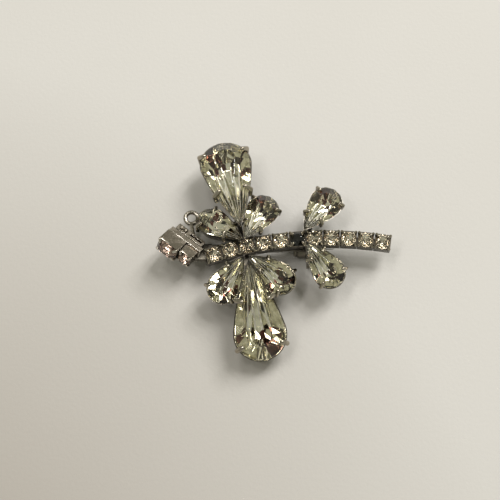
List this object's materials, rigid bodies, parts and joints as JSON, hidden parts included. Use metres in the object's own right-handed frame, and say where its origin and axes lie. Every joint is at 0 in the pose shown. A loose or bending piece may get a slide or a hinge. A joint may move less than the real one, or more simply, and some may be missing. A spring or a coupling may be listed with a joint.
{
  "type": "rhinestone brooch",
  "caption": "Dragonfly-like costume brooch: prong-set pear stones as wings, a curved row of round stones as body, a square-stone head, wire eye and a hinged pin with turning catch.",
  "frame": {"origin": "centre of the bounding box at its bottom, under the back of the brooch", "axes": "+X towards the tail end of the row of round stones, +Y towards the upper wing, +Z out of the front"},
  "size_m": [0.0436, 0.0418, 0.0104],
  "materials": {
    "clear_stone": "polished, silver foil behind",
    "smoked_stone": "polished, foil blackened",
    "silver_setting": "worn polish, dark in the recesses",
    "back_metal": "satin, slightly tarnished",
    "steel_pin": "drawn wire"
  },
  "bodies": {
    "brooch": {"backing_frame": "back_metal", "catch_body": "back_metal", "head_bar": "silver_setting", "head_large_cup": "silver_setting", "head_large_stone": "clear_stone", "head_plate": "silver_setting", "head_small_cup": "silver_setting", "head_small_stone": "clear_stone", "hinge_block": "back_metal", "hinge_rivet": "steel_pin", "neck_strap": "back_metal", "petal_lower_left_cup": "silver_setting", "petal_lower_left_stone": "clear_stone", "petal_lower_right_cup": "silver_setting", "petal_lower_right_stone": "clear_stone", "petal_upper_left_cup": "silver_setting", "petal_upper_left_stone": "clear_stone", "petal_upper_right_cup": "silver_setting", "petal_upper_right_stone": "clear_stone", "pin_bar": "back_metal", "row_cup_01": "silver_setting", "row_cup_02": "silver_setting", "row_cup_03": "silver_setting", "row_cup_04": "silver_setting", "row_cup_05": "silver_setting", "row_cup_06": "silver_setting", "row_cup_07": "silver_setting", "row_cup_08": "silver_setting", "row_cup_09": "silver_setting", "row_cup_10": "silver_setting", "row_cup_11": "silver_setting", "row_stone_01": "clear_stone", "row_stone_02": "clear_stone", "row_stone_03": "clear_stone", "row_stone_04": "clear_stone", "row_stone_05": "clear_stone", "row_stone_06": "smoked_stone", "row_stone_07": "clear_stone", "row_stone_08": "clear_stone", "row_stone_09": "clear_stone", "row_stone_10": "clear_stone", "row_stone_11": "clear_stone", "tail_leaf_lower_cup": "silver_setting", "tail_leaf_lower_stone": "clear_stone", "tail_leaf_upper_cup": "silver_setting", "tail_leaf_upper_stone": "clear_stone", "wing_lower_cup": "silver_setting", "wing_lower_stone": "clear_stone", "wing_upper_cup": "silver_setting", "wing_upper_stone": "clear_stone", "wire_eye": "silver_setting"},
    "pin": {"pin_stem": "steel_pin"},
    "roller": {"catch_roller": "back_metal"}
  },
  "joints": [
    {"name": "pin_hinge", "type": "hinge", "parent": "brooch", "child": "pin", "pos_m": [-0.01234, 0.00054, 0.00144], "axis": [-0.0262, 0.9997, 0], "range_deg": [0, 105]},
    {"name": "catch_roll", "type": "hinge", "parent": "brooch", "child": "roller", "pos_m": [0.00516, 0.00099, 0.00144], "axis": [0.9997, 0.0262, 0], "range_deg": [0, 95]}
  ]
}
